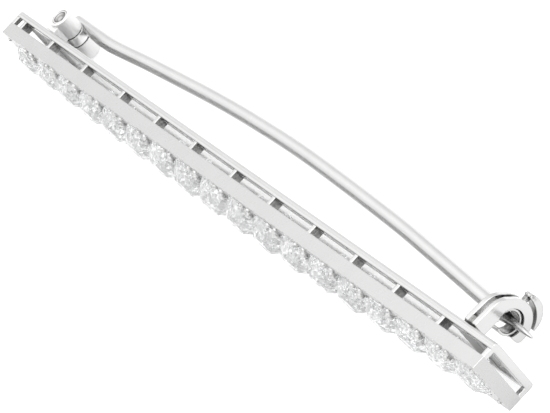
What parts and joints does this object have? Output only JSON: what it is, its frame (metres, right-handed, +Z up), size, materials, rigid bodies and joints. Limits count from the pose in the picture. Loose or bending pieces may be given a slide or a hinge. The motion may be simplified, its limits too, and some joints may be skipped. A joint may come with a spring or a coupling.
{
  "type": "bar brooch",
  "caption": "Slender box-section bar brooch in white metal set with one row of round stones, with slotted sides, a hinged bowed pin and a revolving safety catch",
  "frame": {"origin": "centre of the plain front band of the long side wall that the brooch lies on, on the floor", "axes": "+X along the bar from the hinge to the catch, -Y the way the stones face, +Z up from the side wall that it lies on to the opposite one"},
  "size_m": [0.072, 0.0085, 0.0051],
  "materials": {
    "frame_metal": "polished white metal with fine wear",
    "pin_metal": "polished white metal with fine wear",
    "catch_metal": "polished white metal with fine wear",
    "stone": "faceted, clear and colourless"
  },
  "bodies": {
    "brooch": {"bar_frame": "frame_metal", "stone_01": "stone", "stone_02": "stone", "stone_03": "stone", "stone_04": "stone", "stone_05": "stone", "stone_06": "stone", "stone_07": "stone", "stone_08": "stone", "stone_09": "stone", "stone_10": "stone", "stone_11": "stone", "stone_12": "stone", "stone_13": "stone", "stone_14": "stone", "stone_15": "stone", "stone_16": "stone", "stone_17": "stone", "stone_18": "stone", "hinge_rivet": "pin_metal"},
    "pin": {"pin_stem": "pin_metal"},
    "roller": {"catch_roller": "catch_metal"}
  },
  "joints": [
    {"name": "pin_hinge", "type": "hinge", "parent": "brooch", "child": "pin", "pos_m": [-0.0316, 0.00324, 0.00255], "axis": [0, 0, 1], "range_deg": [0, 80]},
    {"name": "catch_turn", "type": "hinge", "parent": "brooch", "child": "roller", "pos_m": [0.03205, 0.00403, 0.00255], "axis": [1, 0, 0], "range_deg": [0, 60]}
  ]
}
